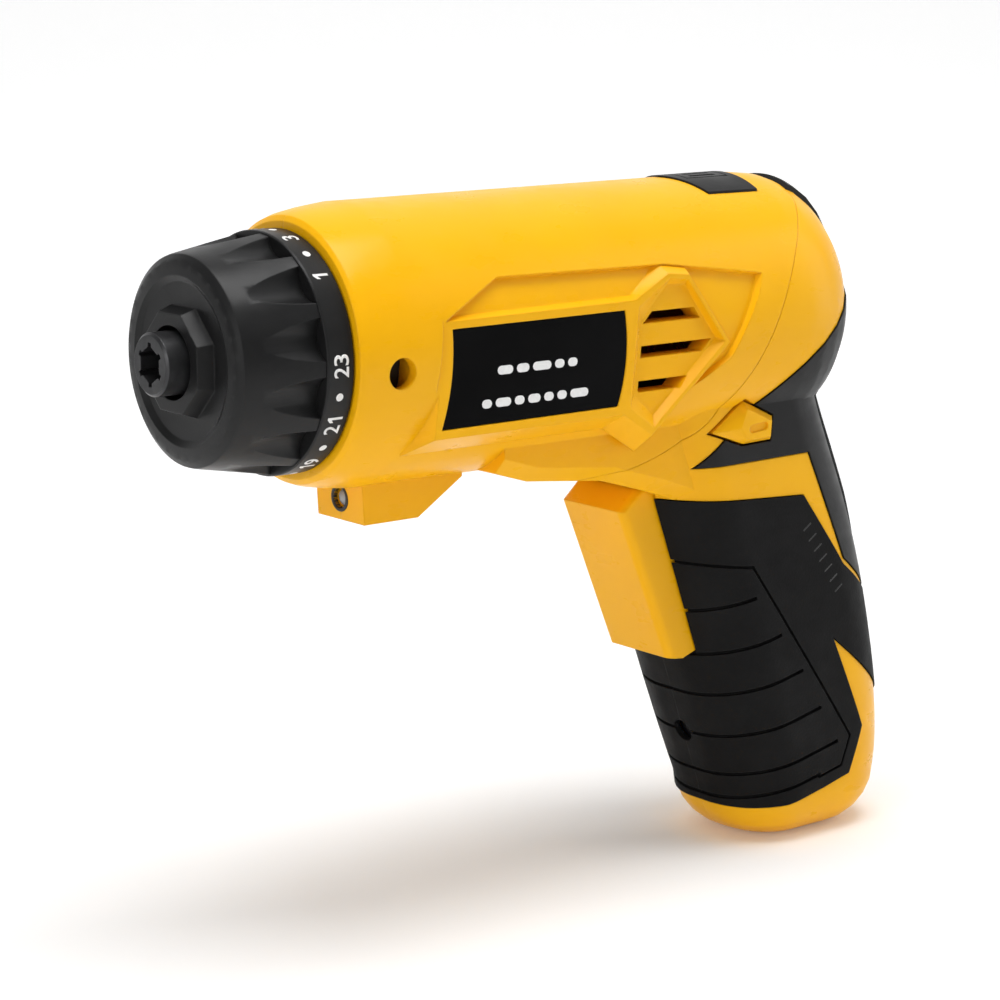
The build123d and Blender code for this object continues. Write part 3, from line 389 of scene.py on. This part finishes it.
def piece_from(mesh_parts, name, finish, body):
    """One object from a bmesh, painted and riding on its body. Print keeps its own ink."""
    mesh = bpy.data.meshes.new(name)
    mesh_parts.to_mesh(mesh)
    mesh_parts.free()
    piece = bpy.data.objects.new(name, mesh)
    bpy.context.scene.collection.objects.link(piece)
    mesh.materials.append(finish)
    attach(piece, body)
    return piece


print("ink film is", INK / MM, "mm thick")

# %% flat outlines and how they get their thickness
def film(mesh_parts, outline, place, thick):
    """A flat shape of (u, v) corners, made thick, with every corner put where place says."""
    low = [mesh_parts.verts.new(place(u, v, 0.0)) for u, v in outline]
    high = [mesh_parts.verts.new(place(u, v, thick)) for u, v in outline]
    mesh_parts.faces.new(high)
    mesh_parts.faces.new(list(reversed(low)))
    for i in range(len(outline)):
        j = (i + 1) % len(outline)
        mesh_parts.faces.new([low[i], low[j], high[j], high[i]])


DISC_CORNERS = 28
DASH_STEPS = 6      # corners in each rounded end


def disc(radius):
    """A round dot about the middle."""
    return [(radius * math.cos(2 * math.pi * k / DISC_CORNERS),
             radius * math.sin(2 * math.pi * k / DISC_CORNERS)) for k in range(DISC_CORNERS)]


def dash(u, v, length, height):
    """A rounded bar, its middle at (u, v)."""
    r = height / 2
    points = []
    for side in (1, -1):
        for k in range(DASH_STEPS + 1):
            turn = math.radians(-90 + 180 * k / DASH_STEPS)
            points.append((u + side * (length / 2 - r + r * math.cos(turn)),
                           v + side * r * math.sin(turn)))
    return points


print("a dot has", DISC_CORNERS, "corners, a dash", 2 * (DASH_STEPS + 1))

# %% [markdown]
# ## The dial's numbers
# The ring has twenty-five equal steps. Odd numbers take every second step, a dot
# stands between each pair, and two steps are blank so the ends of the scale can't be
# confused. Each digit is drawn flat, then wrapped round the ring.

# %% the ring and where things stand on it
STEPS = 25
LAST = 23
DIGIT_HEIGHT = 3.3 * MM
DIGIT_WIDTH = 2.15 * MM
DOT_R = 0.78 * MM
LIFT_OFF = 0.01 * MM       # keeps the print's underside out of the ring's own surface
ring_low, ring_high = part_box("number_ring")
ring_radius = (ring_high.z - ring_low.z) / 2
ring_x = (ring_low.x + ring_high.x) / 2


def round_ring(angle):
    """Places (along the ring, towards the nose, outwards) on the ring at an angle."""
    def place(u, v, w):
        turn = angle + u / ring_radius
        radius = ring_radius + LIFT_OFF + w
        return Vector((ring_x + v, radius * math.cos(turn), radius * math.sin(turn)))
    return place


print("ring radius", round(ring_radius / MM, 2), "mm, one step", round(360 / STEPS, 1), "degrees")

# %% flat digits
# a one's corners, as shares of a digit's width and height, from its foot round
ONE = [(0.42, 0.0), (0.66, 0.0), (0.66, 1.0), (0.45, 1.0), (0.12, 0.80), (0.12, 0.58), (0.42, 0.72)]
ONE_MIDDLE = 0.4
DRAWN_WIDTH = DIGIT_WIDTH * 0.94
STROKE_SWELL = 0.012        # thickens the letterform, in its own units


def one_mesh(middle):
    """A figure one with a flag, because the plain bar of many typefaces is hard to read."""
    flat = bpy.data.meshes.new("one")
    corners = [(middle + (u - ONE_MIDDLE) * DIGIT_WIDTH, (v - 0.5) * DIGIT_HEIGHT, 0.0) for u, v in ONE]
    flat.from_pydata(corners, [], [tuple(range(len(ONE)))])
    return flat


def number_mesh(text, middle):
    """A digit's flat outline, scaled to the dial's digits, its middle at the given place."""
    curve = bpy.data.curves.new("digits", "FONT")
    curve.body = text
    curve.size = 1.0
    curve.resolution_u = 6
    curve.offset = STROKE_SWELL
    holder = bpy.data.objects.new("digits", curve)
    bpy.context.scene.collection.objects.link(holder)
    bpy.context.view_layer.update()
    flat = bpy.data.meshes.new_from_object(holder)
    bpy.data.objects.remove(holder)
    us = [v.co.x for v in flat.vertices]
    vs = [v.co.y for v in flat.vertices]
    for v in flat.vertices:
        v.co.x = middle + (v.co.x - (min(us) + max(us)) / 2) / (max(us) - min(us)) * DRAWN_WIDTH
        v.co.y = (v.co.y - (min(vs) + max(vs)) / 2) / (max(vs) - min(vs)) * DIGIT_HEIGHT
        v.co.z = 0.0
    return flat


print("digits are", round(DRAWN_WIDTH / MM, 2), "by", round(DIGIT_HEIGHT / MM, 2), "mm")

# %% [markdown]
# A flat digit has long straight edges that would cut across the ring's curve like a
# chord. They are divided first, so that the print bends with the ring.

# %% numbers and dots on the ring
DIGIT_PITCH = DIGIT_WIDTH * 1.08
LONGEST_EDGE = 1.2 * MM


def wrap_number(text, angle):
    """One number, its digits side by side, wrapped on at the angle."""
    build = bmesh.new()
    for k, digit in enumerate(text):
        middle = (k - (len(text) - 1) / 2) * DIGIT_PITCH
        flat = one_mesh(middle) if digit == "1" else number_mesh(digit, middle)
        build.from_mesh(flat)
        bpy.data.meshes.remove(flat)
    long_edges = [e for e in build.edges if e.calc_length() > LONGEST_EDGE]
    bmesh.ops.subdivide_edges(build, edges=long_edges, cuts=2)
    bmesh.ops.triangulate(build, faces=build.faces)
    made = bmesh.ops.extrude_face_region(build, geom=build.faces[:])
    for v in (g for g in made["geom"] if isinstance(g, bmesh.types.BMVert)):
        v.co.z += INK
    place = round_ring(angle)
    for v in build.verts:
        v.co = place(*v.co)
    bmesh.ops.recalc_face_normals(build, faces=build.faces)
    return piece_from(build, f"dial_number_{text}", white_ink, "collar")


step_angle = 2 * math.pi / STEPS
dots = bmesh.new()
for k, number in enumerate(range(LAST, 0, -2)):
    wrap_number(str(number), -2 * k * step_angle)
    if number > 1:
        film(dots, disc(DOT_R), round_ring(-(2 * k + 1) * step_angle), INK)
bmesh.ops.recalc_face_normals(dots, faces=dots.faces)
piece_from(dots, "dial_dots", white_ink, "collar")
print("numbers:", (LAST + 1) // 2, "on a ring of radius", round(ring_radius / MM, 2), "mm")

# %% [markdown]
# ## The side plates' print
# The plate carries no words here, only two plain rows of rounded dashes where a
# printer would set them. Both sides have the rows in the same places, and each side
# draws its own lengths from one seeded list, so every run gives the same print.

# %% plate print
plate_low, plate_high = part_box("label_plate_left")
ROW_HEIGHT = 1.7 * MM
# height on the plate, the row's middle, and its length in millimetres
ROWS = [(0.6 * MM, 0.4 * MM, 20), (-5.6 * MM, -0.4 * MM, 26)]
DASH_LENGTHS = [2.4, 3.1, 3.8, 4.6]      # also in millimetres
DASH_GAP = 0.9 * MM
PLATE_LIFT = 0.005 * MM
plate_mid = (plate_low + plate_high) / 2
random.seed(7)
for side, name in ((1, "left"), (-1, "right")):
    rows = bmesh.new()

    def on_plate(u, v, w, side=side):
        return Vector((plate_mid.x - side * u, side * (plate_high.y + PLATE_LIFT + w), plate_mid.z + v))

    for v, middle, total in ROWS:
        at = middle - total / 2 * MM
        while at < middle + (total / 2 - 1) * MM:
            length = random.choice(DASH_LENGTHS) * MM
            film(rows, dash(at + length / 2, v, length, ROW_HEIGHT), on_plate, INK)
            at += length + DASH_GAP
    bmesh.ops.recalc_face_normals(rows, faces=rows.faces)
    piece_from(rows, f"label_print_{name}", white_ink, "casing")
print("plate is", [round(v / MM, 1) for v in plate_high - plate_low], "mm")

# %% [markdown]
# ## Marks down the back of each grip
# A short ladder of fine dark strokes runs down each soft grip. Each stroke is a thin
# film, and every corner of it is laid on the curved surface by shooting a ray at the
# grip from the side, so it follows the form.

# %% grip marks
deep_black = plain("deep_black", (0.002, 0.002, 0.002), (0.004, 0.004, 0.004), 0.3)
MARK_TOP = Vector((-150.6, 0, -46.6)) * MM
MARK_END = Vector((-160.6, 0, -61.4)) * MM
MARKS = 7
MARK_LONG = 2.7 * MM
MARK_WIDE = 0.4 * MM
MARK_THICK = 0.02 * MM
OUTSIDE = 60 * MM          # where the rays start, well clear of the tool
IF_MISSED = 20 * MM


def surface_of(name):
    build = bmesh.new()
    build.from_mesh(nodes[name].data)
    tree = BVHTree.FromBMesh(build)
    build.free()
    return tree


for side, name in ((1, "left"), (-1, "right")):
    skin = surface_of(f"grip_{name}")
    down = (MARK_END - MARK_TOP).normalized()
    across = Vector((down.z, 0, -down.x))
    strokes = bmesh.new()
    for k in range(MARKS):
        middle = MARK_TOP.lerp(MARK_END, k / (MARKS - 1))

        def on_grip(u, v, w, middle=middle, side=side):
            spot = middle + across * u + down * v
            hit = skin.ray_cast(Vector((spot.x, side * OUTSIDE, spot.z)), Vector((0, -side, 0)))[0]
            height = hit.y if hit else side * IF_MISSED
            return Vector((spot.x, height + side * (LIFT_OFF + w), spot.z))

        film(strokes, dash(0, 0, MARK_LONG, MARK_WIDE), on_grip, MARK_THICK)
    bmesh.ops.recalc_face_normals(strokes, faces=strokes.faces)
    piece_from(strokes, f"grip_marks_{name}", deep_black, "casing")
print("strokes on each grip:", MARKS)

# %% [markdown]
# ## Springs with meshes of their own
# A wire spring keeps one end on its seat and gives way at the other. The solid can't
# change its length, so each spring gets a mesh of its own, which stands in for the
# solid, and its length at rest is measured along its joint's axis.

# %% springs
joint_of = {joint["name"]: joint for joint in frame["record"]["behaviour"]["joints"]}


def pressing_spring(name, joint_name):
    """A spring that the joint presses against its far seat. Returns its free length."""
    low, high = joint_of[joint_name]["range_m"]
    travel = max(high, -low)
    axis = Vector(joint_of[joint_name]["axis"]) * (1 if high >= -low else -1)
    build = bmesh.new()
    build.from_mesh(nodes[name].data)
    reach = [v.co.dot(axis) for v in build.verts]
    length = max(reach) - min(reach)
    coil = piece_from(build, f"{name}_coil", finishes["spring_steel"], "casing")
    shade_as_moulded(coil)
    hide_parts(name)
    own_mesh(coil)
    return length


for name, joint_name in (("trigger_spring", "trigger_pull"), ("top_button_spring", "button_press"),
                         ("clutch_spring", "nut_travel")):
    print(name, "is", round(pressing_spring(name, joint_name) / MM, 1), "mm long at rest")

# %% [markdown]
# ## The lamp's bezel
# The work light sits in a bore. A thin black lip round it hides the joint between
# lamp and shell. It is a turned ring, so it is built from a small profile.

# %% lamp bezel
lamp_low, lamp_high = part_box("work_light_led")
lamp_mid = (lamp_low + lamp_high) / 2
lamp_r = (lamp_high.z - lamp_low.z) / 2
BEZEL_X = -42.35 * MM
BEZEL_STEPS = 40
bezel = bmesh.new()
# (towards the nose, outwards from the lamp), in mm
profile = [(-0.9, 0.05), (0.1, 0.05), (0.25, 0.2), (0.25, 0.6), (0.1, 0.75), (-0.05, 0.8)]
rings = []
for k in range(BEZEL_STEPS):
    turn = 2 * math.pi * k / BEZEL_STEPS
    ring = []
    for along, out in profile:
        radius = lamp_r + out * MM
        ring.append(bezel.verts.new((BEZEL_X + along * MM, radius * math.cos(turn),
                                     lamp_mid.z + radius * math.sin(turn))))
    rings.append(ring)
for k in range(BEZEL_STEPS):
    here, there = rings[k], rings[(k + 1) % BEZEL_STEPS]
    for i in range(len(profile)):
        j = (i + 1) % len(profile)
        bezel.faces.new([here[i], here[j], there[j], there[i]])
bmesh.ops.recalc_face_normals(bezel, faces=bezel.faces)
bezel_piece = piece_from(bezel, "lamp_bezel", finishes["black_moulding"], "casing")
bezel_piece.data.shade_smooth()
print("lamp radius", round(lamp_r / MM, 2), "mm")

# %% [markdown]
# ## The paper
# A pale sweep of paper runs under the tool and up behind it, square to the line of
# sight. The far paper glows more than the near, so the background stays white while
# little light comes back up to the underside of the tool.

# %% floor
TURN = math.radians(38.517)        # the camera looks from this far round from +Y towards +X
FLOOR_Z = cad_low.z - 0.1 * MM
SWEEP = 1.6                        # radius of the curve, in metres
SWEEP_STEPS = 16
FRONT, BACK = 2.6, -0.6            # where the flat paper ends, along the line of sight
WALL_TOP = 4.0
HALF_WIDTH = 3.2
PAPER = (0.93, 0.93, 0.93)
PAPER_DEEP = (0.91, 0.91, 0.91)
NEAR, DISTANT = -0.15, -0.9        # between these places the glow grows
NEAR_GLOW, DISTANT_GLOW = 0.1, 0.5
paper, paper_tree, paper_shader = blank_finish("paper")
fibre = between(paper_tree, unevenness(paper_tree, 6 * MM, 5.0), 0.0, 1.0)
paper_tree.links.new(two_tones(paper_tree, fibre, PAPER, PAPER_DEEP), paper_shader.inputs["Base Color"])
paper_shader.inputs["Roughness"].default_value = 0.9
paper_shader.inputs["Emission Color"].default_value = (1, 1, 1, 1)
look = Vector((math.sin(TURN), math.cos(TURN), 0))
paper_place = paper_tree.nodes.new("ShaderNodeTexCoord")
depth = paper_tree.nodes.new("ShaderNodeVectorMath")
depth.operation = "DOT_PRODUCT"
depth.inputs[1].default_value = look
paper_tree.links.new(paper_place.outputs["Object"], depth.inputs[0])
glow = between(paper_tree, depth.outputs["Value"], DISTANT_GLOW, NEAR_GLOW, DISTANT, NEAR)
paper_tree.links.new(glow, paper_shader.inputs["Emission Strength"])
sweep = bmesh.new()
lines = [(FRONT, 0.0), (BACK, 0.0)]
lines += [(BACK - SWEEP * math.sin(t), SWEEP * (1 - math.cos(t)))
          for t in (math.radians(90) * k / SWEEP_STEPS for k in range(1, SWEEP_STEPS + 1))]
lines.append((BACK - SWEEP, WALL_TOP))
sideways = Vector((look.y, -look.x, 0))
rows = [[sweep.verts.new(look * along + sideways * across + Vector((0, 0, FLOOR_Z + up)))
         for across in (-HALF_WIDTH, HALF_WIDTH)] for along, up in lines]
for low_row, high_row in zip(rows, rows[1:]):
    sweep.faces.new([low_row[0], low_row[1], high_row[1], high_row[0]])
paper_mesh = bpy.data.meshes.new("paper_sweep")
sweep.to_mesh(paper_mesh)
sweep.free()
paper_mesh.materials.append(paper)
paper_mesh.shade_smooth()
floor = bpy.data.objects.new("paper_sweep", paper_mesh)
bpy.context.scene.collection.objects.link(floor)
print("floor at", round(FLOOR_Z / MM, 1), "mm")

# %% [markdown]
# ## Light
# One large soft light hangs above, a second faces the nose, a third the back, and a low
# white world fills the shadows. The lights are large for their distance, so their
# edges are soft in the gloss and the blacks still show their form.

# %% light
FILL = 0.24
TOOL_MID = (cad_low + cad_high) / 2
# name, place in metres, power in watts, width, height
LIGHTS = [
    ("overhead", (-0.05, 0.10, 0.75), 6.2, 0.7, 0.4),
    ("nose_side", (0.75, 0.35, 0.25), 2.0, 0.5, 0.5),
    ("back_side", (-0.75, 0.35, 0.2), 1.3, 0.3, 0.7),
]
scene = bpy.context.scene
world = bpy.data.worlds.new("studio")
scene.world = world
world.use_nodes = True
world.node_tree.nodes["Background"].inputs["Color"].default_value = (1, 1, 1, 1)
world.node_tree.nodes["Background"].inputs["Strength"].default_value = FILL


def soft_light(name, place, power, width, height):
    """A rectangle of light at the place, aimed at the middle of the tool."""
    lamp = bpy.data.lights.new(name, "AREA")
    lamp.shape = "RECTANGLE"
    lamp.size = width
    lamp.size_y = height
    lamp.energy = power
    holder = bpy.data.objects.new(name, lamp)
    scene.collection.objects.link(holder)
    holder.location = place
    holder.rotation_euler = (TOOL_MID - Vector(place)).to_track_quat("-Z", "Y").to_euler()


for row in LIGHTS:
    soft_light(*row)
scene.view_settings.view_transform = "Standard"

# %% [markdown]
# ## Camera
# The tool is seen from its left and in front, a little from above, through a longish
# lens at arm's length, which keeps the nose from looking too large.

# %% camera
LIFT = math.radians(11.173)
LENS = 100.8
SENSOR = 36.0
CAMERA_PLACE = (0.26711, 0.43901, 0.07542)
towards = Vector((math.sin(TURN) * math.cos(LIFT), math.cos(TURN) * math.cos(LIFT), math.sin(LIFT)))
camera_data = bpy.data.cameras.new("camera")
camera_data.lens = LENS
camera_data.sensor_width = SENSOR
camera = bpy.data.objects.new("camera", camera_data)
scene.collection.objects.link(camera)
camera.location = CAMERA_PLACE
camera.rotation_mode = "QUATERNION"
camera.rotation_quaternion = (-towards).to_track_quat("-Z", "Y")
scene.camera = camera
print("camera", [round(v, 3) for v in camera.location])
